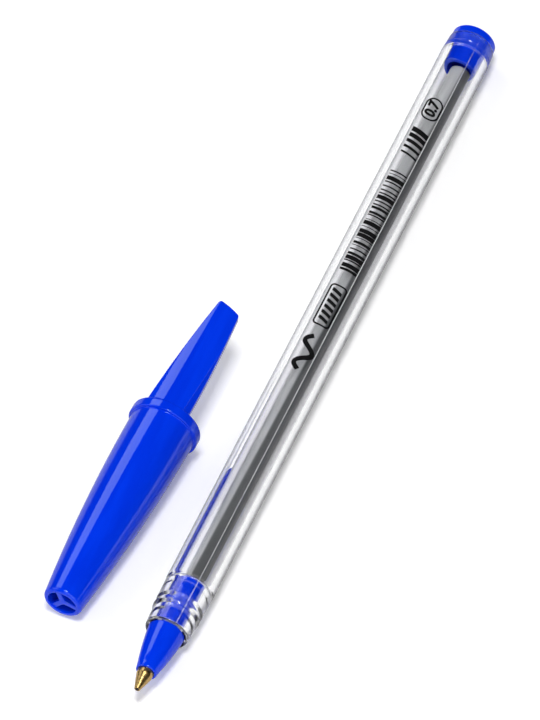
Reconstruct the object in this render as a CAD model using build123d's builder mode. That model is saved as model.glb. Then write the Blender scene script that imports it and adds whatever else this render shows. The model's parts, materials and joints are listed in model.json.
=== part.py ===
from build123d import *
import math
import os

# Stick ballpoint pen lying on a table with its cap taken off and laid beside it.
# Millimetres, Z up, table at Z = 0. The pen's axis runs along X, point at -X, tail at +X.
# Stations along the pen are counted from the front of the writing ball.

# Barrel
barrel_radius = 4.0
barrel_wall = 1.2
barrel_length = 129.8
tail_step_drop = 0.07
tail_step_length = 0.5
tail_land_length = 2.0
tail_land_taper = 0.1

# Collar moulded on the front of the barrel
collar_length = 9.5
collar_rim_step = 0.38
collar_rim_round = 0.3
collar_front_length = 2.9
collar_front_taper = 0.1
collar_ramp_length = 0.6
collar_drop = 0.07
collar_ring_taper = 0.04
collar_ring_length = 0.3
collar_groove_depth = 0.3
collar_groove_length = 1.3
collar_shoulder_length = 0.4

# Nose cone
nose_length = 8.3
nose_front_radius = 1.68
nose_front_round = 0.25
nose_base_ledge = 0.55
nose_bulge = 0.12
spigot_wall = 0.42

# Writing tip and ball
ball_radius = 0.35
ball_exposure = 0.2
lip_wall = 0.11
tip_cone_length = 2.86
tip_radius = 1.29
tip_neck_length = 0.74
tip_seat_length = 1.0
shank_radius = 1.05
shank_length = 6.0
ink_channel_radius = 0.25

# Ink tube and its ink
tube_radius = 1.7
tube_wall = 0.4
tube_setback = 1.4
tube_end_gap = 0.15
ink_empty_length = 2.5
meniscus_depth = 0.5

# Tail plug
plug_flange_length = 1.4
plug_flange_drop = 0.25
plug_flange_round = 0.2
plug_press_length = 2.4
plug_skirt_length = 3.6
plug_skirt_taper = 0.1
plug_wall = 0.7
plug_end_wall = 1.2

# Cap
cap_length = 38.25
cap_end_radius = 3.22
cap_end_round = 0.35
cap_mid_radius = 4.52
cap_mid_station = 14.0
cap_mouth_wall = 1.31
cap_bore_length = 10.0
cap_lead_in = 0.3
cap_flange_length = 1.8
cap_flange_overhang = 0.47
cap_flange_round = 0.35
vent_radius = 2.4
web_recess = 0.25
web_thickness = 0.9
spoke_width = 1.0
spoke_count = 3
spoke_turn = -24.0

# Clip on the cap
clip_reach = 20.7
clip_thickness = 1.1
clip_inset = 0.08
clip_root_width = 7.0
clip_tip_width = 3.8
clip_tip_lean = 0.8
clip_tip_slant = 0.9
clip_side_bulge = 0.2
clip_corner_round = 0.5
bevel_width = 0.95
bevel_drop = 0.86
bevel_reach = 12.8
bevel_spread = 0.55

# Where the loose cap lies
cap_station = 49.85
cap_side_offset = 15.2
cap_yaw = -3.1
clip_roll = 5.5

# Clearances
press_clearance = 0.02
ball_clearance = 0.01
wetted_clearance = 0.01
nose_bore_gap = 0.05
cap_clearance = 0.1

# Stations along the pen
nose_x = ball_exposure + tip_cone_length + tip_neck_length
collar_x = nose_x + nose_length
shoulder_x = collar_x + collar_length
barrel_end_x = collar_x + barrel_length
tail_x = barrel_end_x + plug_flange_length
plug_press_x = barrel_end_x - plug_press_length
plug_mouth_x = plug_press_x - plug_skirt_length
tip_seat_x = nose_x + tip_seat_length
shank_end_x = tip_seat_x + shank_length
tube_front_x = collar_x + tube_setback
tube_end_x = plug_mouth_x - tube_end_gap
ink_end_x = tube_end_x - ink_empty_length

# Radii that follow from the ones above
bore_radius = barrel_radius - barrel_wall
collar_radius = barrel_radius - collar_drop
collar_rim_radius = collar_radius - collar_rim_step
collar_front_radius = collar_rim_radius + collar_front_taper
tail_radius = barrel_radius - tail_step_drop
tube_bore_radius = tube_radius - tube_wall
spigot_radius = tube_radius + press_clearance + spigot_wall
collar_bore_radius = spigot_radius + press_clearance
nose_base_radius = collar_rim_radius - nose_base_ledge
plug_flange_radius = tail_radius - plug_flange_drop
plug_press_radius = bore_radius - press_clearance
plug_skirt_radius = plug_press_radius - plug_skirt_taper
plug_bore_radius = plug_skirt_radius - plug_wall
cap_bore_radius = barrel_radius + cap_clearance
cap_mouth_radius = cap_bore_radius + cap_mouth_wall
cap_flange_radius = cap_mouth_radius + cap_flange_overhang
cap_flange_x = cap_length - cap_flange_length
clip_radius = cap_flange_radius - clip_inset

# The whole layout is centred on the table: the pen lies on the -Y side, the cap on the +Y side
pen_x = -tail_x / 2
pen_y = (barrel_radius - cap_side_offset - cap_flange_radius) / 2
pen_origin = Vector(pen_x, pen_y, barrel_radius)
pen_axis = Axis(pen_origin, (1, 0, 0))
pen_plane = Plane(pen_origin, x_dir=(1, 0, 0), z_dir=(0, -1, 0))

with BuildPart() as barrel:
    with BuildSketch(pen_plane):
        with BuildLine():
            ring_x = collar_x + collar_rim_round + collar_front_length + collar_ramp_length
            groove_x = ring_x + collar_ring_length
            groove_mid = (groove_x + collar_groove_length / 2, collar_radius - collar_groove_depth)
            ring_start_radius = collar_radius - collar_ring_taper
            groove_end = (groove_x + collar_groove_length, ring_start_radius)
            rim_start = (collar_x, collar_rim_radius - collar_rim_round)
            rim_end = (collar_x + collar_rim_round, collar_rim_radius)
            RadiusArc(rim_start, rim_end, collar_rim_round)
            Polyline(
                rim_end,
                (ring_x - collar_ramp_length, collar_front_radius),
                (ring_x, ring_start_radius),
                (groove_x, collar_radius),
            )
            ThreePointArc((groove_x, collar_radius), groove_mid, groove_end)
            Polyline(
                groove_end,
                (shoulder_x - collar_shoulder_length, collar_radius),
                (shoulder_x, barrel_radius),
                (barrel_end_x - tail_land_length - tail_step_length, barrel_radius),
                (barrel_end_x - tail_land_length, tail_radius),
                (barrel_end_x, tail_radius - tail_land_taper),
                (barrel_end_x, bore_radius),
                (shoulder_x, bore_radius),
                (shoulder_x, collar_bore_radius),
                (collar_x, collar_bore_radius),
                rim_start,
            )
        make_face()
    revolve(axis=pen_axis)
barrel.part.label = "barrel"

with BuildPart() as nose_cone:
    with BuildSketch(pen_plane):
        with BuildLine():
            face_edge = (nose_x, nose_front_radius - nose_front_round)
            cone_start = (nose_x + nose_front_round, nose_front_radius)
            cone_end = (collar_x, nose_base_radius)
            cone_mid_x = (cone_start[0] + cone_end[0]) / 2
            cone_mid_radius = (nose_front_radius + nose_base_radius) / 2 + nose_bulge
            RadiusArc(face_edge, cone_start, nose_front_round)
            ThreePointArc(cone_start, (cone_mid_x, cone_mid_radius), cone_end)
            Polyline(
                cone_end,
                (collar_x, spigot_radius),
                (shoulder_x, spigot_radius),
                (shoulder_x, tube_radius + press_clearance),
                (tube_front_x, tube_radius + press_clearance),
                (tube_front_x, tube_bore_radius),
                (shank_end_x, tube_bore_radius),
                (shank_end_x, shank_radius + press_clearance),
                (tip_seat_x, shank_radius + press_clearance),
                (tip_seat_x, tip_radius + nose_bore_gap),
                (nose_x, tip_radius + nose_bore_gap),
                face_edge,
            )
        make_face()
    revolve(axis=pen_axis)
nose_cone.part.label = "nose_cone"

socket_radius = ball_radius + ball_clearance
socket_mouth_radius = math.sqrt(socket_radius**2 - (ball_radius - ball_exposure) ** 2)
socket_back_x = ball_radius + math.sqrt(socket_radius**2 - ink_channel_radius**2)
with BuildPart() as writing_tip:
    with BuildSketch(pen_plane):
        with BuildLine():
            lip_edge = (ball_exposure, socket_mouth_radius)
            socket_back = (socket_back_x, ink_channel_radius)
            Polyline(
                lip_edge,
                (ball_exposure, ball_radius + lip_wall),
                (ball_exposure + tip_cone_length, tip_radius),
                (tip_seat_x, tip_radius),
                (tip_seat_x, shank_radius),
                (shank_end_x, shank_radius),
                (shank_end_x, ink_channel_radius),
                socket_back,
            )
            ThreePointArc(socket_back, (ball_radius, socket_radius), lip_edge)
        make_face()
    revolve(axis=pen_axis)
writing_tip.part.label = "writing_tip"

with BuildPart() as writing_ball:
    with Locations(pen_origin + Vector(ball_radius, 0, 0)):
        Sphere(ball_radius)
writing_ball.part.label = "writing_ball"

with BuildPart() as ink_tube:
    with BuildSketch(pen_plane):
        with BuildLine():
            Polyline(
                (tube_front_x, tube_bore_radius),
                (tube_front_x, tube_radius),
                (tube_end_x, tube_radius),
                (tube_end_x, tube_bore_radius),
                close=True,
            )
        make_face()
    revolve(axis=pen_axis)
ink_tube.part.label = "ink_tube"

with BuildPart() as ink:
    with BuildSketch(pen_plane):
        with BuildLine():
            ink_radius = tube_bore_radius - wetted_clearance
            ink_edge = (ink_end_x, ink_radius)
            ink_middle = (ink_end_x - meniscus_depth, 0)
            Polyline(ink_middle, (shank_end_x, 0), (shank_end_x, ink_radius), ink_edge)
            TangentArc(ink_middle, ink_edge, tangent=(0, 1))
        make_face()
    revolve(axis=pen_axis)
ink.part.label = "ink"

with BuildPart() as tail_plug:
    with BuildSketch(pen_plane):
        with BuildLine():
            flange_face = (tail_x, plug_flange_radius - plug_flange_round)
            flange_side = (tail_x - plug_flange_round, plug_flange_radius)
            RadiusArc(flange_side, flange_face, plug_flange_round)
            Polyline(
                flange_face,
                (tail_x, 0),
                (tail_x - plug_end_wall, 0),
                (tail_x - plug_end_wall, plug_bore_radius),
                (plug_mouth_x, plug_bore_radius),
                (plug_mouth_x, plug_skirt_radius),
                (plug_press_x, plug_press_radius),
                (barrel_end_x, plug_press_radius),
                (barrel_end_x, plug_flange_radius),
                flange_side,
            )
        make_face()
    revolve(axis=pen_axis)
tail_plug.part.label = "tail_plug"

# The cap lies on its flange and on the bulge of its body, which sets how far its mouth is raised
with BuildLine(mode=Mode.PRIVATE) as cap_outline:
    ThreePointArc(
        (cap_end_round, cap_end_radius),
        (cap_mid_station, cap_mid_radius),
        (cap_flange_x, cap_mouth_radius),
    )
outline_steps = 60
cap_rest_x = cap_flange_x + cap_flange_round
cap_pitch = min(
    math.atan2(cap_flange_radius - point.Y, cap_rest_x - point.X)
    for point in (cap_outline.line @ (step / outline_steps) for step in range(outline_steps))
)
mouth_rise = (cap_length - cap_rest_x) * math.sin(cap_pitch)
mouth_height = cap_flange_radius * math.cos(cap_pitch) + mouth_rise


def cap_direction(direction):
    pitched = Vector(direction).rotate(Axis.Y, -math.degrees(cap_pitch))
    return pitched.rotate(Axis.Z, cap_yaw)


cap_along = cap_direction((1, 0, 0))
clip_up = cap_direction(Vector(0, 0, 1).rotate(Axis.X, clip_roll))
cap_mouth = Vector(pen_x + cap_station, pen_y + cap_side_offset, mouth_height)
cap_end = cap_mouth - cap_along * cap_length
cap_axis = Axis(cap_end, cap_along)
cap_plane = Plane(cap_end, x_dir=cap_along, z_dir=cap_along.cross(clip_up))
web_plane = Plane(cap_end + cap_along * web_recess, x_dir=clip_up, z_dir=cap_along)
clip_root_plane = Plane(cap_end + cap_along * cap_rest_x, x_dir=clip_up, z_dir=cap_along)
clip_plan_plane = Plane(cap_mouth, x_dir=cap_along, z_dir=clip_up)

# A bevel runs along the clip's pen side from the root and fades out before the tip
bevel_side = bevel_width - clip_root_width / 2
bevel_height = math.sqrt(clip_radius**2 - bevel_side**2)
bevel_root = clip_plan_plane.from_local_coords((0, bevel_side, bevel_height))
bevel_edge = clip_plan_plane.from_local_coords((0, -clip_root_width / 2, bevel_height - bevel_drop))
bevel_end_side = bevel_side - bevel_spread
bevel_end_height = math.sqrt(clip_radius**2 - bevel_end_side**2)
bevel_end = clip_plan_plane.from_local_coords((bevel_reach, bevel_end_side, bevel_end_height))
bevel_run = bevel_end - bevel_root
bevel_plane = Plane(bevel_root, x_dir=bevel_run, z_dir=(bevel_edge - bevel_root).cross(bevel_run))

with BuildPart() as clip:
    with BuildSketch(clip_root_plane):
        Circle(clip_radius)
        Circle(clip_radius - clip_thickness, mode=Mode.SUBTRACT)
    extrude(amount=cap_length - cap_rest_x + clip_reach + clip_tip_slant)
    with BuildSketch(clip_plan_plane) as clip_plan:
        with BuildLine():
            side_mid = (clip_root_width + clip_tip_width) / 4 + clip_side_bulge
            long_corner = (clip_reach + clip_tip_slant / 2, clip_tip_width / 2 - clip_tip_lean)
            short_corner = (clip_reach - clip_tip_slant / 2, -clip_tip_width / 2 - clip_tip_lean)
            ThreePointArc(
                (0, clip_root_width / 2),
                (clip_reach / 2, side_mid - clip_tip_lean / 2),
                long_corner,
            )
            Line(long_corner, short_corner)
            ThreePointArc(
                short_corner,
                (clip_reach / 2, -side_mid - clip_tip_lean / 2),
                (0, -clip_root_width / 2),
            )
            Polyline(
                (0, -clip_root_width / 2),
                (-cap_flange_length, -clip_root_width / 2),
                (-cap_flange_length, clip_root_width / 2),
                (0, clip_root_width / 2),
            )
        make_face()
        fillet(clip_plan.vertices().sort_by(Axis(cap_mouth, cap_along))[-2:], clip_corner_round)
    extrude(amount=clip_radius, mode=Mode.INTERSECT)
    split(bisect_by=bevel_plane, keep=Keep.BOTTOM)

with BuildPart() as cap:
    with BuildSketch(cap_plane):
        with BuildLine():
            end_face_edge = (0, cap_end_radius - cap_end_round)
            body_start = (cap_end_round, cap_end_radius)
            body_end = (cap_flange_x, cap_mouth_radius)
            RadiusArc(end_face_edge, body_start, cap_end_round)
            ThreePointArc(body_start, (cap_mid_station, cap_mid_radius), body_end)
            flange_near = (cap_flange_x, cap_flange_radius - cap_flange_round)
            flange_near_side = (cap_flange_x + cap_flange_round, cap_flange_radius)
            flange_far_side = (cap_length - cap_flange_round, cap_flange_radius)
            flange_far = (cap_length, cap_flange_radius - cap_flange_round)
            Line(body_end, flange_near)
            RadiusArc(flange_near, flange_near_side, cap_flange_round)
            Line(flange_near_side, flange_far_side)
            RadiusArc(flange_far_side, flange_far, cap_flange_round)
            Polyline(
                flange_far,
                (cap_length, cap_bore_radius + cap_lead_in),
                (cap_length - cap_lead_in, cap_bore_radius),
                (cap_length - cap_lead_in - cap_bore_length, cap_bore_radius),
                (web_recess + web_thickness, vent_radius),
                (0, vent_radius),
                end_face_edge,
            )
        make_face()
    revolve(axis=cap_axis)
    with BuildSketch(web_plane):
        with PolarLocations(0, spoke_count, spoke_turn):
            Rectangle(cap_end_radius - cap_end_round, spoke_width, align=(Align.MIN, Align.CENTER))
    extrude(amount=web_thickness)
    add(clip.part)
cap.part.label = "cap"

os.makedirs("parts", exist_ok=True)
for piece in (barrel, nose_cone, writing_tip, writing_ball, ink_tube, ink, tail_plug, cap):
    export_step(piece.part, f"parts/{piece.part.label}.step")
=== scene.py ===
import json
import math

import bmesh
import bpy
import numpy as np
from mathutils import Matrix, Vector


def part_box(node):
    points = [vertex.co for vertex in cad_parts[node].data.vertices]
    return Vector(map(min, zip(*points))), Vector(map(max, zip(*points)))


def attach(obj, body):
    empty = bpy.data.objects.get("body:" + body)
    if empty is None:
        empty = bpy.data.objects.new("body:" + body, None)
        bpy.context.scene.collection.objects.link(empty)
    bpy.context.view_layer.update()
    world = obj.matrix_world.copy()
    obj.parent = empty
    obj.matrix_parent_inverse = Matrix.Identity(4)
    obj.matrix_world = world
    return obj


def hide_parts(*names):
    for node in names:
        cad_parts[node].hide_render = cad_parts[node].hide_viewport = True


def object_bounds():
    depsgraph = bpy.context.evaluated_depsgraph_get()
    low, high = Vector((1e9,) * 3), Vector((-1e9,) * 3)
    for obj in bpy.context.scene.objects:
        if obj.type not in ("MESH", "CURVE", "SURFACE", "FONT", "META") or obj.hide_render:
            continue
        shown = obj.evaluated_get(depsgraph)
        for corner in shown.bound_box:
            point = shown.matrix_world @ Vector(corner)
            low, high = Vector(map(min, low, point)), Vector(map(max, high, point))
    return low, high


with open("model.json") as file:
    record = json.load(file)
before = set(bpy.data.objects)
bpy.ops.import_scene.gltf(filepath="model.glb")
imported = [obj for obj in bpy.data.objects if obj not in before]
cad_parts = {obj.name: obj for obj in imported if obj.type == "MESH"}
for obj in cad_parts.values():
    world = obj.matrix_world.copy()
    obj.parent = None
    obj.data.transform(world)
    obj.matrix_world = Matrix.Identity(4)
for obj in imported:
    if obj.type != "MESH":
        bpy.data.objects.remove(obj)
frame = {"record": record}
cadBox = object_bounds()
scene = bpy.context.scene
scene.view_settings.view_transform = "Standard"

# Pieces are drawn in millimetres on their own axis and put in place in metres.
mm = 0.001
weldDistance = 1e-4  # points closer than this are one point
mounts = {mount["name"]: mount for mount in frame["record"]["mounts"]}
barrelLow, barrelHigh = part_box("barrel")
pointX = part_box("writing_ball")[0].x
penOrigin = Vector((pointX, (barrelLow.y + barrelHigh.y) / 2, (barrelLow.z + barrelHigh.z) / 2))
penFrame = Matrix.Translation(penOrigin) @ Matrix.Scale(mm, 4)


def stationOf(node, end):  # from the front of the ball to the node's near end, 0, or far end, 1
    return (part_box(node)[end].x - pointX) / mm


def radiusOf(node):
    low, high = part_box(node)
    return (high.z - low.z) / 2 / mm


def spanOf(node):  # where a round piece starts and ends, and its radius
    return stationOf(node, 0), stationOf(node, 1), radiusOf(node)


# A socket that can be used in sums, with one method for every other kind of node
class Wire:
    def __init__(self, tree, socket=None):
        self.tree = tree
        self.socket = socket

    def __getitem__(self, name):  # another output of the same node
        return Wire(self.tree, self.socket.node.outputs[name])

    def node(self, kind, settings=None, values=None):
        made = self.tree.nodes.new(kind)
        for name, value in (settings or {}).items():
            setattr(made, name, value)
        for name, value in (values or {}).items():
            if isinstance(value, Wire):
                self.tree.links.new(value.socket, made.inputs[name])
            else:
                made.inputs[name].default_value = value
        return Wire(self.tree, made.outputs[0] if made.outputs else None)

    def maths(self, operation, *values):
        return self.node("ShaderNodeMath", {"operation": operation}, dict(enumerate(values)))

    def __add__(self, other):
        return self.maths("ADD", self, other)

    __radd__ = __add__

    def __sub__(self, other):
        return self.maths("SUBTRACT", self, other)

    def __rsub__(self, other):
        return self.maths("SUBTRACT", other, self)

    def __mul__(self, other):
        return self.maths("MULTIPLY", self, other)

    __rmul__ = __mul__

    def __truediv__(self, other):
        return self.maths("DIVIDE", self, other)

    def __rtruediv__(self, other):
        return self.maths("DIVIDE", other, self)

    def __neg__(self):
        return self.maths("MULTIPLY", self, -1)

    def between(self, low, high, start=0, end=1):  # smooth step from start to end
        settings = {"interpolation_type": "SMOOTHSTEP"}
        values = {"Value": self, "From Min": low, "From Max": high, "To Min": start, "To Max": end}
        return self.node("ShaderNodeMapRange", settings, values)


def mixColours(factor, first, second):
    return factor.node("ShaderNodeMix", {"data_type": "RGBA"}, {0: factor, 6: first, 7: second})[2]


# Materials: a noise is its size, detail and stretch, and a bump its strength and depth
def startMaterial(name):
    material = bpy.data.materials.new(name)
    material.use_nodes = True
    material.node_tree.nodes.clear()
    wires = Wire(material.node_tree)
    place = wires.node("ShaderNodeTexCoord")["Object"]
    return material, wires, place


def finishMaterial(wires, values):
    shader = wires.node("ShaderNodeBsdfPrincipled", None, values)
    wires.node("ShaderNodeOutputMaterial", None, {"Surface": shader})


def noiseAt(place, size, detail, stretch=(1, 1, 1)):  # size is the grain in millimetres
    mapped = place.node("ShaderNodeMapping", None, {"Vector": place, "Scale": stretch})
    values = {"Vector": mapped, "Scale": 1 / (size * mm), "Detail": detail}
    return place.node("ShaderNodeTexNoise", None, values)


def roughFrom(look, factor):  # the least roughness, and what the factor adds to it
    least, more = look["roughness"]
    return least + more * factor


def bumpFrom(height, strength, depth):  # depth in millimetres
    values = {"Strength": strength, "Distance": depth * mm, "Height": height}
    return height.node("ShaderNodeBump", None, values)


bluePlasticLook = {
    "deep": (0.0, 0.03, 0.72, 1),
    "pale": (0.0, 0.037, 0.79, 1),
    "flow": (2.5, 3.0, (0.12, 1, 1)),  # flow marks run along the piece
    "flowBand": (0.35, 0.65),
    "grain": (0.12, 2.0),
    "grainShare": 0.2,
    "bump": (0.016, 0.006),
    "index": 1.5,
    "gloss": (0.7, 1.0, 1.0, 1),
    "glossLevel": 0.62,
    "roughness": (0.05, 0.06),
    "roughnessBand": (0.4, 0.75),
}


def bluePlastic():
    look = bluePlasticLook
    material, wires, place = startMaterial("bluePlastic")
    flow = noiseAt(place, *look["flow"])
    grain = noiseAt(place, *look["grain"])
    colour = mixColours(flow.between(*look["flowBand"]), look["deep"], look["pale"])
    rough = roughFrom(look, flow.between(*look["roughnessBand"]))
    surface = bumpFrom(grain * look["grainShare"] + flow, *look["bump"])
    values = {"Base Color": colour, "Roughness": rough, "Normal": surface, "IOR": look["index"]}
    values.update({"Specular IOR Level": look["glossLevel"], "Specular Tint": look["gloss"]})
    finishMaterial(wires, values)
    return material


clearPlasticLook = {
    "tint": (0.993, 0.995, 1.0, 1),
    "haze": (0.975, 0.98, 0.993, 1),
    "flow": (6.0, 2.0, (0.06, 1, 1)),
    "flowBand": (0.35, 0.7),
    "rim": (0.42, 0.43, 0.47, 1),  # painted shade: grey where the skin is seen edge on, for the shadowed floor seen through the edge
    "rimBand": (0.5, 0.82),
    "rimBlend": 0.5,
    "index": 1.59,
    "scuff": (0.5, 4.0, (0.06, 1, 1)),
    "scuffBand": (0.6, 0.85),
    "scuffRoughness": 0.006,
    "collarEnd": (18.6, 19.6),
    "collarRoughness": 0.1,  # the collar is moulded less sharp than the tube
}


def clearPlastic():
    look = clearPlasticLook
    material, wires, place = startMaterial("clearPlastic")
    flow = noiseAt(place, *look["flow"])
    scuff = noiseAt(place, *look["scuff"])
    station = (wires.node("ShaderNodeSeparateXYZ", None, {0: place})["X"] - pointX) / mm
    collar = station.between(*look["collarEnd"], 1, 0)
    rough = look["scuffRoughness"] * scuff.between(*look["scuffBand"]) + look["collarRoughness"] * collar
    facing = wires.node("ShaderNodeLayerWeight", None, {"Blend": look["rimBlend"]})["Facing"]
    # painted shade: the skin turns grey where it is seen edge on, except on the collar
    rim = facing.between(*look["rimBand"]) * (1 - collar)
    colour = mixColours(flow.between(*look["flowBand"]), look["tint"], look["haze"])
    colour = mixColours(rim, colour, look["rim"])
    values = {"Base Color": colour, "Roughness": rough, "IOR": look["index"], "Transmission Weight": 1.0}
    finishMaterial(wires, values)
    return material


brassLook = {
    "bright": (0.74, 0.5, 0.19, 1),
    "worn": (0.5, 0.31, 0.11, 1),
    "tarnish": (0.6, 4.0),
    "wornBand": (0.5, 0.85),
    "turningPitch": 0.12,
    "turningShare": 0.12,
    "bump": (0.015, 0.002),
    "roughness": (0.26, 0.12),
    "roughnessBand": (0.4, 0.7),
}


def brass():
    look = brassLook
    material, wires, place = startMaterial("brass")
    along = place.node("ShaderNodeSeparateXYZ", None, {0: place})["X"]
    tarnish = noiseAt(place, *look["tarnish"])
    turns = wires.maths("SINE", along * (math.tau / (look["turningPitch"] * mm)))
    colour = mixColours(tarnish.between(*look["wornBand"]), look["bright"], look["worn"])
    rough = roughFrom(look, tarnish.between(*look["roughnessBand"]))
    surface = bumpFrom(turns * look["turningShare"] + tarnish, *look["bump"])
    finishMaterial(wires, {"Base Color": colour, "Roughness": rough, "Metallic": 1.0, "Normal": surface})
    return material


tubePlasticLook = {
    "inked": (0.08, 0.083, 0.087, 1),
    "inkedPale": (0.105, 0.108, 0.113, 1),
    # painted light: the pale side is the tube's lit side towards the left lamps, and partly wall that the
    # ink has left bare
    "bare": (0.42, 0.425, 0.435, 1),
    "barePale": (0.48, 0.485, 0.495, 1),
    "bareMiddle": -92.4,  # degrees from the top to the middle of the pale painted lit side, at the front end
    "bareTurn": 0.39,  # degrees for each millimetre along the tube
    "bareHalf": 75.0,
    "bareSoft": 8.0,
    "streak": (1.2, 3.0, (0.05, 1, 1)),
    "streakBand": (0.35, 0.7),
    "bump": (0.08, 0.02),
    "index": 1.5,
    "roughness": (0.3, 0.12),
}


def tubePlastic():
    look = tubePlasticLook
    material, wires, place = startMaterial("tubePlastic")
    parts = wires.node("ShaderNodeSeparateXYZ", None, {0: place})
    streak = noiseAt(place, *look["streak"])
    turned = wires.maths("ARCTAN2", penOrigin.y - parts["Y"], parts["Z"] - penOrigin.z)
    station = (parts["X"] - penOrigin.x) / mm
    middle = math.radians(look["bareMiddle"]) + math.radians(look["bareTurn"]) * station
    off = wires.maths("COSINE", turned - middle)
    edges = [math.cos(math.radians(look["bareHalf"] + side * look["bareSoft"])) for side in (1, -1)]
    pale = streak.between(*look["streakBand"])
    inked = mixColours(pale, look["inked"], look["inkedPale"])
    litSide = mixColours(pale, look["bare"], look["barePale"])
    # painted light: the side turned towards the left lamps gets the pale colours
    colour = mixColours(off.between(*edges), inked, litSide)
    rough = roughFrom(look, streak)
    surface = bumpFrom(streak, *look["bump"])
    values = {"Base Color": colour, "Roughness": rough, "IOR": look["index"], "Normal": surface}
    finishMaterial(wires, values)
    return material


def oneNoise(name, look):  # colours, roughness and bump that follow one noise
    material, wires, place = startMaterial(name)
    noise = noiseAt(place, *look["noise"])
    colour = mixColours(noise.between(*look["band"]), *look["colours"])
    rough = roughFrom(look, noise)
    values = {"Base Color": colour, "Roughness": rough, **look["values"]}
    if "bump" in look:
        values["Normal"] = bumpFrom(noise, *look["bump"])
    finishMaterial(wires, values)
    return material


hardMetalLook = {
    "colours": ((0.02, 0.014, 0.014, 1), (0.12, 0.1, 0.09, 1)),  # inked and bare
    "noise": (0.25, 3.0),
    "band": (0.35, 0.6),
    "bump": (0.1, 0.004),
    "roughness": (0.22, 0.2),
    "values": {"Metallic": 0.9},
}
inkLook = {
    "colours": ((0.004, 0.005, 0.03, 1), (0.01, 0.014, 0.09, 1)),  # thick and thin
    "noise": (1.5, 2.0),
    "band": (0.4, 0.7),
    "roughness": (0.08, 0.1),
    "values": {},
}
printLook = {
    "colours": ((0.003, 0.003, 0.0035, 1), (0.012, 0.012, 0.013, 1)),  # full and thin
    "noise": (0.2, 3.0),
    "band": (0.5, 0.8),
    "bump": (0.1, 0.004),
    "roughness": (0.5, 0.2),
    "values": {"Specular IOR Level": 0.12},
}
materials = {
    "blue": bluePlastic(),
    "clear": clearPlastic(),
    "brass": brass(),
    "ball": oneNoise("hardMetal", hardMetalLook),
    "tube": tubePlastic(),
    "ink": oneNoise("ink", inkLook),
    "print": oneNoise("printInk", printLook),
}
print("materials made:", len(materials))


# Outlines
outlineLook = {
    "sideShare": 0.45,  # the most of a side that a rounded corner takes
    "arcStep": 15,  # degrees between the points of a rounded corner
    "straight": 1e-3,  # radians
    "hold": 0.12,  # points beside each bend keep the shading of long runs straight
    "holdFrom": 6,  # runs shorter than this many holds do without
    "longest": 2.5,
}


def arcThrough(start, middle, end, steps):  # points between start and end on the arc through middle
    (ax, ay), (bx, by), (cx, cy) = start, middle, end
    d = 2 * (ax * (by - cy) + bx * (cy - ay) + cx * (ay - by))
    a2, b2, c2 = ax * ax + ay * ay, bx * bx + by * by, cx * cx + cy * cy
    ux = (a2 * (by - cy) + b2 * (cy - ay) + c2 * (ay - by)) / d
    uy = (a2 * (cx - bx) + b2 * (ax - cx) + c2 * (bx - ax)) / d
    radius = math.hypot(ax - ux, ay - uy)
    angles = np.unwrap([math.atan2(y - uy, x - ux) for x, y in (start, middle, end)])
    turns = np.linspace(angles[0], angles[2], steps + 1)[1:-1]
    return [(ux + radius * math.cos(a), uy + radius * math.sin(a), 0) for a in turns]


def roundCorner(before, corner, after, radius, steps):  # an arc in place of a corner
    look = outlineLook
    corner, toBefore, toAfter = (Vector(p[:2]) for p in (corner, before, after))
    toBefore, toAfter = toBefore - corner, toAfter - corner
    opening = toBefore.angle(toAfter)
    if radius <= 0 or opening > math.pi - look["straight"]:
        return [tuple(corner)]
    most = look["sideShare"] * toBefore.length, look["sideShare"] * toAfter.length
    reach = min(radius / math.tan(opening / 2), *most)
    radius = reach * math.tan(opening / 2)
    bisector = (toBefore.normalized() + toAfter.normalized()).normalized()
    centre = corner + bisector * (radius / math.sin(opening / 2))
    first = corner + toBefore.normalized() * reach - centre
    turn = math.pi - opening
    side = 1 if first.cross(corner - centre) > 0 else -1
    steps = steps or max(2, math.ceil(math.degrees(turn) / look["arcStep"]))
    spins = (Matrix.Rotation(side * turn * i / steps, 2) for i in range(steps + 1))
    return [tuple(centre + spin @ first) for spin in spins]


def roundedLine(corners, closed=False, steps=None):  # corners are (x, y, radius)
    points = []
    count = len(corners)
    for i, corner in enumerate(corners):
        if not closed and i in (0, count - 1):
            points.append(corner[:2])
        else:
            points += roundCorner(corners[i - 1], corner, corners[(i + 1) % count], corner[2], steps)
    return points + points[:1] if closed else points


def supported(points):
    hold = outlineLook["hold"]
    line = [points[0]]
    for a, b in zip(points, points[1:]):
        a, b = Vector(a), Vector(b)
        length = (b - a).length
        if length > outlineLook["holdFrom"] * hold:
            count = max(1, math.ceil((length - 2 * hold) / outlineLook["longest"]))
            shares = [hold / length + (1 - 2 * hold / length) * i / count for i in range(count + 1)]
            line += [tuple(a.lerp(b, share)) for share in shares]
        line.append(tuple(b))
    return line


# Geometry Nodes: a turned piece from its outline, with a mould seam on two sides
def newTree(name, inputs, numbers):
    tree = bpy.data.node_groups.new(name, "GeometryNodeTree")
    for label, kind in {**inputs, **dict.fromkeys(numbers, "Float")}.items():
        tree.interface.new_socket(label, in_out="INPUT", socket_type="NodeSocket" + kind)
    tree.interface.new_socket("Geometry", in_out="OUTPUT", socket_type="NodeSocketGeometry")
    wires = Wire(tree)
    return tree, wires, wires.node("NodeGroupInput")


def endTree(wires, geometry, material):
    whole = wires.node("GeometryNodeRealizeInstances", None, {0: geometry})
    dressed = wires.node("GeometryNodeSetMaterial", None, {"Geometry": whole, "Material": material})
    wires.node("NodeGroupOutput", None, {"Geometry": dressed})


def roundAxis(wires, along, angle, radius):  # a place from its station, angle from the top and radius
    across = -(radius * wires.maths("SINE", angle))
    height = radius * wires.maths("COSINE", angle)
    return wires.node("ShaderNodeCombineXYZ", None, {"X": along, "Y": across, "Z": height})


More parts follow.
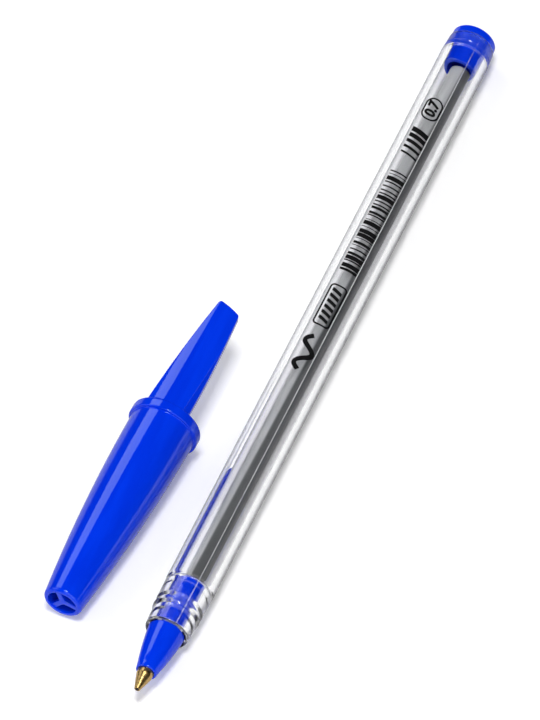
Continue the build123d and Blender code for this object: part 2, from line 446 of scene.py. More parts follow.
def turnedTree():
    inputs = {"Outline": "Geometry", "Segments": "Int", "Material": "Material"}
    numbers = ["Merge Distance", "Seam Angle", "Seam Height", "Seam Width"]
    numbers += ["Seam Crowding", "Seam Waviness", "Seam Grain"]
    tree, wires, given = newTree("turnedPiece", inputs, numbers)
    count = wires.node("GeometryNodeAttributeDomainSize", None, {0: given["Outline"]})["Point Count"]
    columns = given["Segments"] + 1
    grid = wires.node("GeometryNodeMeshGrid", None, {"Vertices X": count, "Vertices Y": columns})
    index = wires.node("GeometryNodeInputIndex")
    row = wires.maths("FLOOR", (index + 0.5) / columns)
    uniform = (index - row * columns) * math.tau / given["Segments"]
    position = wires.node("GeometryNodeInputPosition")
    sample = {"Geometry": given["Outline"], "Value": position, "Index": row}
    outline = wires.node("GeometryNodeSampleIndex", {"data_type": "FLOAT_VECTOR"}, sample)
    parts = wires.node("ShaderNodeSeparateXYZ", None, {0: outline})
    seam = given["Seam Angle"]
    angle = uniform - given["Seam Crowding"] * wires.maths("SINE", (uniform - seam) * 2) / 2
    across = wires.maths("SINE", angle - seam) / given["Seam Width"]
    ridge = given["Seam Height"] * parts["Y"] * wires.maths("EXPONENT", -(across * across))
    grain = {"W": parts["X"], "Scale": given["Seam Grain"]}
    noise = wires.node("ShaderNodeTexNoise", {"noise_dimensions": "1D"}, grain)
    uneven = 1 + given["Seam Waviness"] * (noise - 0.5) * 2
    place = roundAxis(wires, parts["X"], angle, parts["Z"] + ridge * uneven)
    skin = wires.node("GeometryNodeSetPosition", None, {"Geometry": grid, "Position": place})
    merge = {"Geometry": skin, "Distance": given["Merge Distance"]}
    closed = wires.node("GeometryNodeMergeByDistance", None, merge)
    smooth = wires.node("GeometryNodeSetShadeSmooth", None, {0: closed})
    endTree(wires, smooth, given["Material"])
    return tree


def runTree(obj, tree, values):
    modifier = obj.modifiers.new(tree.name, "NODES")
    modifier.node_group = tree
    for item in tree.interface.items_tree:
        if item.in_out == "INPUT" and item.name in values:
            modifier[item.identifier] = values[item.name]
    bakeModifiers(obj)


def bakeModifiers(obj):
    evaluated = obj.evaluated_get(bpy.context.evaluated_depsgraph_get())
    mesh = bpy.data.meshes.new_from_object(evaluated)
    obj.modifiers.clear()
    old = obj.data
    obj.data = mesh
    bpy.data.meshes.remove(old)
    mesh.name = obj.name


# Meshes
def addObject(name, data):
    obj = bpy.data.objects.new(name, data)
    scene.collection.objects.link(obj)
    return obj


def pointOutwards(obj):  # a closed shell whose volume comes out negative is inside out
    mesh = bmesh.new()
    mesh.from_mesh(obj.data)
    if mesh.calc_volume(signed=True) < 0:
        bmesh.ops.reverse_faces(mesh, faces=mesh.faces)
    mesh.to_mesh(obj.data)
    mesh.free()


def weld(obj):
    mesh = bmesh.new()
    mesh.from_mesh(obj.data)
    bmesh.ops.remove_doubles(mesh, verts=mesh.verts, dist=weldDistance)
    mesh.to_mesh(obj.data)
    mesh.free()


def filledCurve(name, loops):  # flat outlines, where one inside another is a hole
    curve = bpy.data.curves.new(name, "CURVE")
    curve.dimensions = "2D"
    curve.fill_mode = "BOTH"
    for loop in loops:
        spline = curve.splines.new("POLY")
        spline.points.add(len(loop) - 1)
        spline.use_cyclic_u = True
        for point, (x, y) in zip(spline.points, loop):
            point.co = (x, y, 0, 1)
    return curve


def flatMesh(name, curve):  # a filled curve as a mesh
    flat = addObject(name, curve)
    mesh = bpy.data.meshes.new_from_object(flat.evaluated_get(bpy.context.evaluated_depsgraph_get()))
    bpy.data.objects.remove(flat)
    return mesh


latheTree = turnedTree()
latheLook = {"Segments": 160, "Seam Width": 1.0, "Seam Grain": 0.7, "Merge Distance": weldDistance}


def turnPiece(name, points, material, seamFrom=math.inf, **changes):  # a seam past the radius seamFrom
    line = supported(points)
    mesh = bpy.data.meshes.new(name)
    vertices = [(x, float(r > seamFrom), r) for x, r in line]
    mesh.from_pydata(vertices, [(i, i + 1) for i in range(len(line) - 1)], [])
    obj = addObject(name, mesh)
    runTree(obj, latheTree, {**latheLook, **changes, "Material": material})
    pointOutwards(obj)
    return obj


def settle(obj, place, body, slotName, *nodes):  # puts a finished piece on its body
    obj.data.transform(place)
    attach(obj, body)
    if nodes:
        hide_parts(*nodes)
    print("made", obj.name, len(obj.data.polygons), "faces")


# Barrel: clear tube with a stepped collar and a mould seam
barrelLook = {
    "wall": 1.2,
    "collarBore": 2.16,
    "mouthEdge": 0.05,
    "rimRadius": 3.55,
    "rimRound": 0.3,
    "frontLength": 2.9,
    "frontRadius": 3.65,
    "rampLength": 0.6,
    "ringRadius": 3.93,
    "ringTaper": 0.04,
    "ringLength": 0.3,
    "ringRound": 0.14,
    "grooveDepth": 0.3,
    "grooveLength": 1.3,
    "grooveRound": 0.4,
    "shoulderLength": 0.4,
    "shoulderRound": 0.25,
    "seatEdge": 0.08,
    "edge": 0.1,
    "tailStepLength": 0.5,
    "tailLandLength": 2.0,
    "tailLandRadius": 3.93,
    "tailEndRadius": 3.83,
    "tailEdge": 0.04,
    "stepRidges": ((0.14, -0.03), (0.28, 0.03)),  # along from the step, and over the land
    "landDip": (-0.06, -0.04),  # along from the land, and over it
    "ridgeEdge": 0.03,
    "boreEdge": 0.06,
    "seamFrom": 0.1,  # the seam is on what lies this far outside the bore
    "seam": {
        "Segments": 256,
        "Seam Angle": math.radians(28.0),  # from the top, away from the cap
        "Seam Height": 0.045,
        "Seam Width": 0.011,
        "Seam Crowding": 0.92,
        "Seam Waviness": 0.5,
    },
}
collarX, barrelEndX, barrelRadius = spanOf("barrel")
noseX, shoulderX, noseRadius = spanOf("nose_cone")


def makeBarrel():
    look = barrelLook
    bore = barrelRadius - look["wall"]
    ringX = collarX + look["rimRound"] + look["frontLength"] + look["rampLength"]
    grooveX = ringX + look["ringLength"]
    grooveEnd = grooveX + look["grooveLength"]
    edge, ring, land = look["edge"], look["ringRadius"], look["tailLandRadius"]
    ringStart = ring - look["ringTaper"]
    landX = barrelEndX - look["tailLandLength"]
    stepX = landX - look["tailStepLength"]
    dipX, dip = look["landDip"]
    corners = [
        (collarX, look["collarBore"], look["mouthEdge"]),
        (collarX, look["rimRadius"], look["rimRound"]),
        (ringX - look["rampLength"], look["frontRadius"], edge),
        (ringX, ringStart, look["ringRound"]),
        (grooveX, ring, edge),
        ((grooveX + grooveEnd) / 2, ring - look["grooveDepth"], look["grooveRound"]),
        (grooveEnd, ringStart, edge),
        (shoulderX - look["shoulderLength"], ring, edge),
        (shoulderX, barrelRadius, edge),
        (stepX, barrelRadius, look["tailEdge"]),
        *[(stepX + along, land + over, look["ridgeEdge"]) for along, over in look["stepRidges"]],
        (landX + dipX, land + dip, look["ridgeEdge"]),
        (landX, land, look["tailEdge"]),
        (barrelEndX, look["tailEndRadius"], edge),
        (barrelEndX, bore, look["boreEdge"]),
        (shoulderX, bore, look["shoulderRound"]),
        (shoulderX, look["collarBore"], look["seatEdge"]),
    ]
    outside = bore + look["seamFrom"]
    points = roundedLine(corners, closed=True)
    obj = turnPiece("barrelShell", points, materials["clear"], outside, **look["seam"])
    settle(obj, penFrame, "barrel", "clear_plastic", "barrel")


# Nose cone
noseLook = {
    "frontRadius": 1.68,
    "frontRound": 0.25,
    "bulge": 0.12,
    "bulgeSteps": 16,
    "baseEdge": 0.06,
    "baseGap": 0.015,  # keeps the blue face off the clear one
    "spigotRadius": 2.14,
    "spigotRound": 0.12,
    "tipBore": 1.34,
    "tipSeat": 1.0,
    "shankBore": 1.07,
    "shankLength": 6.0,
    "tubeBore": 1.3,
    "tubeSeat": 1.72,
    "edge": 0.05,
    "fineEdge": 0.03,
}


def makeNose():
    look = noseLook
    edge, fine = look["edge"], look["fineEdge"]
    base = collarX - look["baseGap"]
    tubeFront = stationOf("ink_tube", 0)
    seatX = noseX + look["tipSeat"]
    shankEnd = seatX + look["shankLength"]
    start = (noseX + look["frontRound"], look["frontRadius"])
    middle = ((noseX + base) / 2, (look["frontRadius"] + noseRadius) / 2 + look["bulge"])
    corners = [
        (noseX, look["tipBore"], edge),
        (noseX, look["frontRadius"], look["frontRound"]),
        *arcThrough(start, middle, (base, noseRadius), look["bulgeSteps"]),
        (base, noseRadius, look["baseEdge"]),
        (base, look["spigotRadius"], edge),
        (shoulderX, look["spigotRadius"], look["spigotRound"]),
        (shoulderX, look["tubeSeat"], edge),
        (tubeFront, look["tubeSeat"], edge),
        (tubeFront, look["tubeBore"], fine),
        (shankEnd, look["tubeBore"], fine),
        (shankEnd, look["shankBore"], fine),
        (seatX, look["shankBore"], fine),
        (seatX, look["tipBore"], fine),
    ]
    obj = turnPiece("noseCone", roundedLine(corners, closed=True), materials["blue"])
    settle(obj, penFrame, "writing_unit", "blue_plastic", "nose_cone")


# Writing tip and ball
tipLook = {
    "lipWall": 0.11,
    "coneLength": 2.86,
    "coneEdge": 0.1,
    "shankRadius": 1.05,
    "shankRound": 0.08,
    "channel": 0.25,
    "play": 0.01,
    "socketSteps": 8,
    "edge": 0.05,
    "fineEdge": 0.03,
}
ballLook = {"steps": 32, "segments": 64}
ballRadius = radiusOf("writing_ball")


def makeTip():
    look = tipLook
    lipX, shankEnd, tipRadius = spanOf("writing_tip")
    seatX = noseX + noseLook["tipSeat"]
    socket = ballRadius + look["play"]
    mouth = math.sqrt(socket**2 - (ballRadius - lipX) ** 2)
    backX = ballRadius + math.sqrt(socket**2 - look["channel"] ** 2)
    back, front = (backX, look["channel"]), (lipX, mouth)
    corners = [
        (*front, 0),
        (lipX, ballRadius + look["lipWall"], look["edge"]),
        (lipX + look["coneLength"], tipRadius, look["coneEdge"]),
        (seatX, tipRadius, look["edge"]),
        (seatX, look["shankRadius"], look["fineEdge"]),
        (shankEnd, look["shankRadius"], look["shankRound"]),
        (shankEnd, look["channel"], look["fineEdge"]),
        (*back, 0),
        *arcThrough(back, (ballRadius, socket), front, look["socketSteps"]),
    ]
    obj = turnPiece("writingTip", roundedLine(corners, closed=True), materials["brass"])
    settle(obj, penFrame, "writing_unit", "brass", "writing_tip")


def makeBall():
    steps = ballLook["steps"]
    turns = [math.pi * i / steps for i in range(steps + 1)]
    points = [(ballRadius * (1 - math.cos(a)), ballRadius * math.sin(a)) for a in turns]
    points[0] = (0, 0)
    points[-1] = (2 * ballRadius, 0)
    obj = turnPiece("writingBall", points, materials["ball"], Segments=ballLook["segments"])
    settle(obj, penFrame, "ball", "hard_metal", "writing_ball")


# Ink tube and ink
tubeLook = {
    "bore": 1.3,
    "edgeRound": 0.08,
    "segments": 96,
    "droop": (-0.3, -0.22),  # across and down at the loose end
}
columnLook = {
    "edge": 0.05,
    "meniscus": 0.5,
    "slope": (0.72, 0.5),  # a point on the meniscus, by shares of its depth and of the radius
    "steps": 10,
    "segments": 64,
}


def droop(obj):  # the tube is held at the nose and hangs a little at its loose end
    held, loose = shoulderX, stationOf("ink_tube", 1)
    for vertex in obj.data.vertices:
        share = max(vertex.co.x - held, 0) / (loose - held)
        vertex.co.y += tubeLook["droop"][0] * share
        vertex.co.z += tubeLook["droop"][1] * share


def makeTube():
    look = tubeLook
    start, end, radius = spanOf("ink_tube")
    corners = [(start, look["bore"]), (start, radius), (end, radius), (end, look["bore"])]
    points = roundedLine([(x, r, look["edgeRound"]) for x, r in corners], closed=True)
    obj = turnPiece("inkTube", points, materials["tube"], Segments=look["segments"])
    droop(obj)
    settle(obj, penFrame, "writing_unit", "tube_plastic", "ink_tube")


def makeInk():
    look = columnLook
    start, end, radius = spanOf("ink")
    deep, wide = look["slope"]
    bottom = (end - look["meniscus"], 0)
    slope = (end - look["meniscus"] * deep, radius * wide)
    curve = arcThrough((end, radius), slope, bottom, look["steps"])
    corners = [(start, 0, 0), (start, radius, look["edge"]), (end, radius, 0), *curve, (*bottom, 0)]
    obj = turnPiece("inkColumn", roundedLine(corners), materials["ink"], Segments=look["segments"])
    droop(obj)
    settle(obj, penFrame, "writing_unit", "ink", "ink")


# Tail plug
plugLook = {
    "flangeRound": 0.2,
    "flangeEdge": 0.08,
    "flangeGap": 0.015,
    "pressRadius": 2.812,  # wrings against the bore, so no air shows between them
    "pressLength": 2.4,
    "pressLead": (0.1, 0.05),  # length and drop
    "pressEdge": 0.03,
    "skirtRadius": 2.68,
    "skirtRound": 0.1,
    "bore": 1.98,
    "boreEdge": 0.06,
    "boreRound": 0.2,
    "endWall": 1.2,
}


def makePlug():
    look = plugLook
    mouth, tail, flange = spanOf("tail_plug")
    pressX = barrelEndX - look["pressLength"]
    front = barrelEndX + look["flangeGap"]
    inside = tail - look["endWall"]
    lead, drop = look["pressLead"]
    corners = [
        (inside, 0, 0),
        (inside, look["bore"], look["boreRound"]),
        (mouth, look["bore"], look["boreEdge"]),
        (mouth, look["skirtRadius"], look["skirtRound"]),
        (pressX - lead, look["pressRadius"] - drop, look["pressEdge"]),
        (pressX, look["pressRadius"], look["pressEdge"]),
        (front, look["pressRadius"], 0),
        (front, flange, look["flangeEdge"]),
        (tail, flange, look["flangeRound"]),
        (tail, 0, 0),
    ]
    obj = turnPiece("tailPlug", roundedLine(corners), materials["blue"])
    settle(obj, penFrame, "plug", "blue_plastic", "tail_plug")


# Cap: hollow taper with a flange, a webbed end and a clip
capLook = {
    "length": 38.25,
    "endRadius": 3.22,
    "endRound": 0.6,
    "endSteps": 8,
    "midRadius": 4.52,
    "midStation": 14.0,
    "bodySteps": 40,
    "bodyEdge": 0.12,
    "mouthRadius": 5.41,
    "mouthEdge": 0.08,
    "flangeLength": 1.8,
    "flangeRadius": 5.88,
    "flangeRound": 0.35,
    "leadIn": 0.3,
    "boreRound": 0.4,
    "vent": 2.4,
    "ventEdge": 0.15,
    "ventRound": 0.2,
    "sharpAngle": 38,  # degrees, edges over this stay sharp
}
webLook = {
    "recess": 0.25,
    "thickness": 0.9,
    "seat": 0.235,  # how far the web is let into the wall
    "bevel": 0.1,
    "bevelSteps": 2,
    "spokeWidth": 0.9,
    "spokes": 3,
    "spokeTurn": 24.0,  # degrees from the clip towards the side away from the pen
    "round": 0.6,
    "openingSteps": 9,
    "circleSteps": 96,
}
capAlong = Vector(mounts["cap_mouth"]["axis"]).normalized()
clipUp = -Vector(mounts["pocket_clip"]["axis"])
clipUp = (clipUp - capAlong * clipUp.dot(capAlong)).normalized()
capBore = mounts["cap_mouth"]["dims"]["r_mm"]
boreLength = mounts["cap_mouth"]["dims"]["length_mm"]
boreMiddle = capLook["length"] - capLook["leadIn"] - boreLength / 2
capEnd = Vector(mounts["cap_mouth"]["pos_m"]) - capAlong * boreMiddle * mm
capTurn = Matrix((capAlong, clipUp.cross(capAlong), clipUp)).transposed().to_4x4()
capFrame = Matrix.Translation(capEnd) @ capTurn @ Matrix.Scale(mm, 4)


def capBody():
    look = capLook
    length = look["length"]
    flangeX = length - look["flangeLength"]
    edge, radius = look["endRound"], look["endRadius"]
    fall = edge * (1 - math.sqrt(0.5))
    face, start = (0, radius - edge), (edge, radius)
    middle, bodyEnd = (look["midStation"], look["midRadius"]), (flangeX, look["mouthRadius"])
    corners = [
        (0, look["vent"], look["ventEdge"]),
        (*face, 0),
        *arcThrough(face, (fall, radius - fall), start, look["endSteps"]),
        (*start, 0),
        *arcThrough(start, middle, bodyEnd, look["bodySteps"]),
        (*bodyEnd, look["bodyEdge"]),
        (flangeX, look["flangeRadius"], look["flangeRound"]),
        (length, look["flangeRadius"], look["flangeRound"]),
        (length, capBore + look["leadIn"], look["mouthEdge"]),
        (length - look["leadIn"], capBore, look["mouthEdge"]),
        (length - look["leadIn"] - boreLength, capBore, look["boreRound"]),
        (webLook["recess"] + webLook["thickness"], look["vent"], look["ventRound"]),
    ]
    return turnPiece("penCap", roundedLine(corners, closed=True), materials["blue"])


def webOpening(half, outer):  # the outline of one opening, with its middle on the first axis
    look = webLook
    reach = half - math.asin(look["spokeWidth"] / 2 / outer)
    turns = np.linspace(-reach, reach, look["openingSteps"])
    rounds = {0: look["round"], len(turns) - 1: look["round"]}
    corners = [(look["spokeWidth"] / 2 / math.sin(half), 0, look["round"])]
    for i, turn in enumerate(turns):
        corners.append((outer * math.cos(turn), outer * math.sin(turn), rounds.get(i, 0)))
    return roundedLine(corners, closed=True)[:-1]


def capWeb():
    look = webLook
    half = math.pi / look["spokes"]
    opening = webOpening(half, capLook["vent"])
    rim = capLook["vent"] + look["seat"]
    turns = np.linspace(0, math.tau, look["circleSteps"], endpoint=False)
    loops = [[(rim * math.cos(a), rim * math.sin(a)) for a in turns]]
    for spoke in range(look["spokes"]):
        turn = Matrix.Rotation(math.radians(look["spokeTurn"]) + half + 2 * half * spoke, 2)
        loops.append([turn @ Vector(p) for p in opening])
    curve = filledCurve("capWeb", loops)
    curve.bevel_depth = look["bevel"]
    curve.bevel_resolution = look["bevelSteps"]
    curve.offset = -curve.bevel_depth
    curve.extrude = look["thickness"] / 2 - curve.bevel_depth
    mesh = flatMesh("capWebOutline", curve)
    upright = Matrix(((0, 0, 1), (0, 1, 0), (1, 0, 0))).to_4x4()
    mesh.transform(Matrix.Translation((look["recess"] + look["thickness"] / 2, 0, 0)) @ upright)
    obj = addObject("capWeb", mesh)
    weld(obj)
    pointOutwards(obj)
    return obj


clipLook = {
    "reach": 20.7,
    "thickness": 1.1,
    "outerRadius": 5.8,
    "rootWidth": 7.0,
    "tipWidth": 3.8,
    "tipLean": 0.8,
    "tipSlant": 0.9,
    "sideBulge": 0.2,
    "cornerRound": 0.5,
    "edgeRound": 0.2,
    "edgeLeast": 0.02,
    "lowEdge": 0.6,  # the other three edges, as a share of the first
    "bevelSide": 2.55,
    "bevelSpread": 0.55,
    "bevelReach": 12.8,
    "bevelSlope": 0.905,
    "bevelLeast": 0.04,
    "flash": 0.035,  # fine ridge left by the mould along the bevel
    "flashHalf": 0.07,
    "topPoints": 13,
    "bevelPoints": 4,
    "bottomPoints": 14,
    "edgeSteps": 5,
    "stations": 28,
    "tipStations": 13,
}


def clipSection(share, drop, inset):  # a closed ring of points round the clip at a share of its reach
    look = clipLook
    outer, inner = look["outerRadius"] - drop, look["outerRadius"] - look["thickness"] + drop
    taper = (look["tipWidth"] - look["rootWidth"]) / 2 * share
    half = look["rootWidth"] / 2 + taper + 4 * look["sideBulge"] * share * (1 - share) - inset
    middle = -look["tipLean"] * share
    left, right = middle + half, middle - half
    along = look["reach"] * share
    crease = -look["bevelSide"] - look["bevelSpread"] * along / look["bevelReach"]
    crease = max(crease, right + look["bevelLeast"])
    flash = min(look["flashHalf"], (crease - right) / 3)
    ridge = look["flash"] * flash / look["flashHalf"]
    creaseHeight = math.sqrt(outer**2 - crease**2)
    top = [(y, math.sqrt(outer**2 - y * y)) for y in np.linspace(left, crease + flash, look["topPoints"])]
    top.append((crease, creaseHeight + ridge))
    for y in np.linspace(crease - flash, right, look["bevelPoints"]):
        top.append((y, creaseHeight - look["bevelSlope"] * (crease - y)))
    bottom = [(y, math.sqrt(inner**2 - y * y)) for y in np.linspace(right, left, look["bottomPoints"])]
    edge = max(look["edgeRound"] - drop, look["edgeLeast"])
    low = edge * look["lowEdge"]
    rounds = {0: edge, len(top) - 1: low, len(top): low, len(top) + len(bottom) - 1: low}
    corners = [(*p, rounds.get(i, 0)) for i, p in enumerate(top + bottom)]
    ring = roundedLine(corners, closed=True, steps=look["edgeSteps"])[:-1]
    slant = look["tipSlant"] / 2 * share / half
    return [(along + slant * (y - middle), y, z) for y, z in ring]


def capClip():
    look = clipLook
    mouth = capLook["length"]
    root = capLook["flangeRound"] - capLook["flangeLength"]
    corner, edge, reach = look["cornerRound"], look["edgeRound"], look["reach"]
    turns = np.linspace(0, math.pi / 2, look["tipStations"])[1:]
    stations = [*np.linspace(0, reach - corner, look["stations"])]
    stations += [reach - corner * (1 - math.sin(a)) for a in turns]
    mesh = bmesh.new()
    rings = [[mesh.verts.new((mouth + root, y, z)) for x, y, z in clipSection(0, 0, 0)]]
    for along in stations:
        inset = corner - math.sqrt(max(corner**2 - max(along - reach + corner, 0) ** 2, 0))
        drop = edge - math.sqrt(max(edge**2 - max(along - reach + edge, 0) ** 2, 0))
        section = clipSection(along / reach, drop, inset)
        rings.append([mesh.verts.new((mouth + x, y, z)) for x, y, z in section])
    for near, far in zip(rings, rings[1:]):
        for i in range(len(near)):
            j = (i + 1) % len(near)
            mesh.faces.new((near[i], near[j], far[j], far[i]))
    mesh.faces.new(rings[0])
    mesh.faces.new(rings[-1])
    bmesh.ops.recalc_face_normals(mesh, faces=mesh.faces)
    data = bpy.data.meshes.new("capClip")
    mesh.to_mesh(data)
    mesh.free()
    return addObject("capClip", data)


def makeCap():
    cap = capBody()
    for part in (capWeb(), capClip()):
        part.data.materials.clear()
        part.data.materials.append(materials["blue"])
        joint = cap.modifiers.new(part.name, "BOOLEAN")
        joint.operation = "UNION"
        joint.solver = "EXACT"
        joint.object = part
        bakeModifiers(cap)
        bpy.data.objects.remove(part)
    cap.data.shade_smooth()
    cap.data.set_sharp_from_angle(angle=math.radians(capLook["sharpAngle"]))
    settle(cap, capFrame, "cap", "blue_plastic", "cap")


makeBarrel()
makeNose()
makeTip()
makeBall()
makeTube()
makeInk()
makePlug()
makeCap()


# Print on the barrel
printPlace = {
    "lift": 0.006,
    "thickness": 0.014,
    "angle": 4.0,  # degrees from the top to the middle of the print
    "height": 3.1,
    "lean": 0.17,  # shift along the pen for each millimetre of height
}
barsLook = {
    "from": 87.25,
    "to": 109.95,
    "count": 27,
    "seed": 7,
    "jitter": 0.18,  # in pitches
    "choices": (1, 4),
    "width": (0.12, 0.055),  # the least, and what the square of a choice adds, in pitches
    "rows": 16,
}


def barsTree():
    look = barsLook
    inputs = {"Geometry": "Geometry", "Count": "Int", "Seed": "Int", "Material": "Material"}
    numbers = ["Length", "Height", "Radius", "Thickness", "Angle", "Start", "Lean"]
    tree, wires, given = newTree("printedBars", inputs, numbers)
    pitch = given["Length"] / given["Count"]
    line = wires.node("GeometryNodeMeshLine", None, {"Count": given["Count"]})
    index = wires.node("GeometryNodeInputIndex")
    spread = {2: -look["jitter"], 3: look["jitter"], "Seed": given["Seed"] + 1}
    jitter = wires.node("FunctionNodeRandomValue", {"data_type": "FLOAT"}, spread)[1]
    along = given["Start"] + pitch * (index + 0.5 + jitter)
    spot = wires.node("ShaderNodeCombineXYZ", None, {"X": along})
    points = wires.node("GeometryNodeSetPosition", None, {"Geometry": line, "Position": spot})
    choices = {4: look["choices"][0], 5: look["choices"][1], "Seed": given["Seed"]}
    choice = wires.node("FunctionNodeRandomValue", {"data_type": "INT"}, choices)[2]
    least, more = look["width"]
    width = pitch * (least + more * choice * choice)
    bar = wires.node("GeometryNodeMeshCube", None, {"Vertices Y": look["rows"]})
    size = {"X": width, "Y": given["Height"], "Z": given["Thickness"]}
    values = {"Points": points, "Instance": bar, "Scale": wires.node("ShaderNodeCombineXYZ", None, size)}
    bars = wires.node("GeometryNodeInstanceOnPoints", None, values)
    whole = wires.node("GeometryNodeRealizeInstances", None, {0: bars})
    parts = wires.node("ShaderNodeSeparateXYZ", None, {0: wires.node("GeometryNodeInputPosition")})
    angle = given["Angle"] - parts["Y"] / given["Radius"]
    radius = given["Radius"] + parts["Z"] + given["Thickness"] / 2
    place = roundAxis(wires, parts["X"] + given["Lean"] * parts["Y"], angle, radius)
    bent = wires.node("GeometryNodeSetPosition", None, {"Geometry": whole, "Position": place})
    endTree(wires, bent, given["Material"])
    return tree


def makeBars():
    look = barsLook
    obj = addObject("printedBars", bpy.data.meshes.new("printedBars"))
    values = {
        "Count": look["count"],
        "Length": look["to"] - look["from"],
        "Height": printPlace["height"],
        "Seed": look["seed"],
        "Radius": barrelRadius + printPlace["lift"],
        "Thickness": printPlace["thickness"],
        "Angle": math.radians(printPlace["angle"]),
        "Start": look["from"],
        "Lean": printPlace["lean"],
        "Material": materials["print"],
    }
    runTree(obj, barsTree(), values)
    pointOutwards(obj)
    settle(obj, penFrame, "barrel", "clear_plastic")


makeBars()


waveLook = {"from": 65.85, "to": 73.1, "turns": 1.5, "swing": 1.1, "stroke": 0.85, "points": 61}
boxLook = {
    "from": 75.4,
    "to": 84.3,
    "stroke": 0.32,
    "corner": 0.75,
    "strokes": 6,
    "width": 0.68,
    "lean": 0.3,
    "gap": 0.2,
    "margin": 0.35,
}
stepsLook = {"from": 112.75, "to": 119.6, "strokes": 5, "thin": 0.4, "thick": 1.0, "lean": 0.3}
ovalLook = {
    "from": 121.6,
    "to": 126.3,
    "stroke": 0.3,
    "roundness": 0.99,
    "text": "0.7",
    "size": 2.5,
    "shear": 0.1,
    "weight": 0.12,
}
marksLook = {"cornerSteps": 8, "cuts": (-1.4, 1.5, 0.2)}  # cuts let flat marks bend round the barrel


def waveLoop():
    look = waveLook
    length = look["to"] - look["from"]
    upper, lower = [], []
    for share in np.linspace(0, 1, look["points"]):
        phase = math.tau * look["turns"] * share
        slope = look["swing"] * math.cos(phase) * math.tau * look["turns"] / length
        normal = Vector((-slope, 1)).normalized() * look["stroke"] / 2
        point = Vector((look["from"] + length * share, look["swing"] * math.sin(phase)))
        upper.append(point + normal)
        lower.append(point - normal)
    return upper + lower[::-1]


def frameLoops(look, half, corner):  # a rounded box and the hole in it
    loops = []
    for inset in (0, look["stroke"]):
        low, high, side = look["from"] + inset, look["to"] - inset, half - inset
        corners = [(low, -side), (high, -side), (high, side), (low, side)]
        rounded = [(*p, corner - inset) for p in corners]
        loops.append(roundedLine(rounded, closed=True, steps=marksLook["cornerSteps"])[:-1])
    return loops


def strokeLoops(start, end, half, widths, lean):  # upright strokes that lean towards the tail
    pitch = (end - start) / len(widths)
    loops = []
    for i, width in enumerate(widths):
        x = start + pitch * (i + 0.5)
        corners = [(x - width / 2 - lean, -half), (x + width / 2 - lean, -half)]
        loops.append([*corners, (x + width / 2 + lean, half), (x - width / 2 + lean, half)])
    return loops


def markLoops():
    box, steps = boxLook, stepsLook
    half = printPlace["height"] / 2
    loops = [waveLoop()]
    loops += frameLoops(box, half, box["corner"])
    loops += frameLoops(ovalLook, half, half * ovalLook["roundness"])
    gap = box["stroke"] + box["lean"] + box["gap"]
    low = half - box["stroke"] - box["margin"]
    widths = [box["width"]] * box["strokes"]
    loops += strokeLoops(box["from"] + gap, box["to"] - gap, low, widths, box["lean"])
    widths = np.linspace(steps["thin"], steps["thick"], steps["strokes"])
    start, end = steps["from"] + steps["lean"], steps["to"] - steps["lean"]
    return loops + strokeLoops(start, end, half, widths, steps["lean"])


def sizeFigure():  # the point size in the middle of the oval
    look = ovalLook
    letters = bpy.data.curves.new("printedSize", "FONT")
    letters.body = look["text"]
    letters.size = look["size"]
    letters.shear = look["shear"]
    letters.offset = look["weight"]
    letters.align_x = "CENTER"
    letters.align_y = "CENTER"
    mesh = flatMesh("printedSize", letters)
    mesh.transform(Matrix.Translation(((look["from"] + look["to"]) / 2, 0, 0)))
    return mesh


def makeMarks():
    place = printPlace
    figure = sizeFigure()
    mesh = bmesh.new()
    mesh.from_mesh(flatMesh("printedOutlines", filledCurve("printedMarks", markLoops())))
    mesh.from_mesh(figure)
    bmesh.ops.remove_doubles(mesh, verts=mesh.verts, dist=weldDistance)
    for y in np.arange(*marksLook["cuts"]):
        geometry = mesh.verts[:] + mesh.edges[:] + mesh.faces[:]
        bmesh.ops.bisect_plane(mesh, geom=geometry, plane_co=(0, y, 0), plane_no=(0, 1, 0))
    made = bmesh.ops.extrude_face_region(mesh, geom=mesh.faces[:])["geom"]
    raised = [v for v in made if isinstance(v, bmesh.types.BMVert)]
    bmesh.ops.translate(mesh, verts=raised, vec=(0, 0, place["thickness"]))
    bmesh.ops.recalc_face_normals(mesh, faces=mesh.faces)
    middle, skin = math.radians(place["angle"]), barrelRadius + place["lift"]
    for vertex in mesh.verts:
        angle, radius = middle - vertex.co.y / barrelRadius, skin + vertex.co.z
        slid = vertex.co.x + place["lean"] * vertex.co.y
        vertex.co = (slid, -radius * math.sin(angle), radius * math.cos(angle))
    data = bpy.data.meshes.new("printedMarks")
    mesh.to_mesh(data)
    mesh.free()
    data.materials.append(materials["print"])
    settle(addObject("printedMarks", data), penFrame, "barrel", "clear_plastic")


makeMarks()


# Camera, floor and lights
cameraLook = {
    "azimuth": -68.17,
    "elevation": 50.037,
    "distance": 1.9283,
    "lens": 613.84,
    "sensor": 36,
    "along": 69.05,  # the point it looks at, along the pen and towards the cap, at axis height
    "aside": 5.57,
}


def makeCamera():
    look = cameraLook
    target = penFrame @ Vector((look["along"], look["aside"], 0))
    turn, rise = math.radians(look["azimuth"]), math.radians(look["elevation"])
    back = Vector((math.sin(turn) * math.cos(rise), -math.cos(turn) * math.cos(rise), math.sin(rise)))
    data = bpy.data.cameras.new("photoCamera")
    data.lens = look["lens"]
    data.sensor_width = look["sensor"]
    obj = addObject("photoCamera", data)
    obj.location = target + back * look["distance"]
    obj.rotation_euler = (-back).to_track_quat("-Z", "Y").to_euler()
    scene.camera = obj


floorLook = {
    "size": 1.2,
    "gap": 1e-5,  # under the lowest point of the part
    "colour": (0.95, 0.95, 0.955, 1),
    "mirrored": (0.6, 0.6, 0.61, 1),  # in mirrored rays
    "lift": 0.14,  # glow towards the camera
    "innerLift": 0.1,  # in rays bent by clear plastic, which lets light through to the floor
}


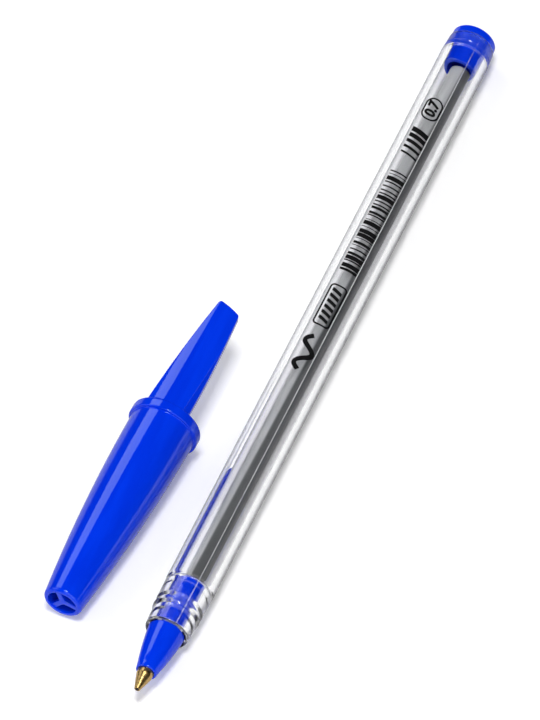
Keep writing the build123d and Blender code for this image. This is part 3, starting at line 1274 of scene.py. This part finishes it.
def floorPaper():
    look = floorLook
    material, wires, _ = startMaterial("floor")
    path = wires.node("ShaderNodeLightPath")
    through = path["Is Transmission Ray"]
    strength = path["Is Camera Ray"] * look["lift"] + through * look["innerLift"]
    colour = mixColours(path["Is Glossy Ray"] * (1 - through), look["colour"], look["mirrored"])
    paper = wires.node("ShaderNodeBsdfDiffuse", None, {"Color": colour})
    glow = wires.node("ShaderNodeEmission", None, {"Strength": strength})
    both = wires.node("ShaderNodeAddShader", None, {0: paper, 1: glow})
    wires.node("ShaderNodeOutputMaterial", None, {"Surface": both})
    return material


def makeFloor():
    mesh = bmesh.new()
    bmesh.ops.create_grid(mesh, x_segments=1, y_segments=1, size=floorLook["size"] / 2)
    data = bpy.data.meshes.new("floor")
    mesh.to_mesh(data)
    mesh.free()
    data.materials.append(floorPaper())
    data.transform(Matrix.Translation((0, 0, cadBox[0].z - floorLook["gap"])))
    addObject("floor", data)


lightLook = {  # flat panels that face the pen, the first size runs along it
    "top": {"place": (-0.3, -0.1, 1.27), "size": (0.3, 0.3), "radiance": 34.5},
    "key": {"place": (0.483, 0.718, 0.854), "size": (0.48, 0.6), "radiance": 2.1},
    "left": {"place": (-0.35, 1.2, 0.75), "size": (1.0, 1.0), "radiance": 1.2},
    "front": {"place": (-1.0, -0.45, 0.6), "size": (0.8, 1.4), "radiance": 1.7},
}
worldLook = {
    "around": 0.21,  # on matt faces
    "horizon": 0.05,  # in mirrored rays
    "overhead": 0.012,
    "bandTop": 0.3,
    "bent": 1.0,  # in rays bent by clear plastic
    "bentLow": 0.25,
    "bentBand": (0.1, 0.35),
    "flag": (0.555, 0.665),  # a dark strip across the room ahead of the pen, by the share along X
    "flagSoft": 0.012,
}


def makeLights():
    for name, look in lightLook.items():
        data = bpy.data.lights.new(name, "AREA")
        data.shape = "RECTANGLE"
        data.size, data.size_y = look["size"]
        data.energy = look["radiance"] * math.pi * data.size * data.size_y
        obj = addObject(name, data)
        away = Vector(look["place"]).normalized()
        along = (Vector((1, 0, 0)) - away * away.x).normalized()
        turn = Matrix((along, away.cross(along), away)).transposed()
        obj.matrix_world = Matrix.Translation(look["place"]) @ turn.to_4x4()


def makeWorld():
    look = worldLook
    world = bpy.data.worlds.new("studio")
    world.use_nodes = True
    world.node_tree.nodes.clear()
    wires = Wire(world.node_tree)
    direction = wires.node("ShaderNodeTexCoord")["Generated"]
    parts = wires.node("ShaderNodeSeparateXYZ", None, {0: direction})
    ahead, height = parts["X"], parts["Z"]
    path = wires.node("ShaderNodeLightPath")
    mirrored = height.between(0.0, look["bandTop"], look["horizon"], look["overhead"])
    (start, end), soft = look["flag"], look["flagSoft"]
    flag = ahead.between(start - soft, start + soft) * ahead.between(end - soft, end + soft, 1, 0)
    bent = height.between(*look["bentBand"], look["bentLow"], look["bent"]) * (1 - flag)
    glossy, through = path["Is Glossy Ray"], path["Is Transmission Ray"]
    strength = look["around"] + glossy * (mirrored - look["around"])
    strength = strength + through * (bent - strength)
    strength = wires.maths("MAXIMUM", strength, path["Is Camera Ray"])
    light = wires.node("ShaderNodeBackground", None, {"Color": (1, 1, 1, 1), "Strength": strength})
    wires.node("ShaderNodeOutputWorld", None, {"Surface": light})
    scene.world = world


makeCamera()
makeFloor()
makeLights()
makeWorld()
print("studio made:", len(lightLook), "lamps")
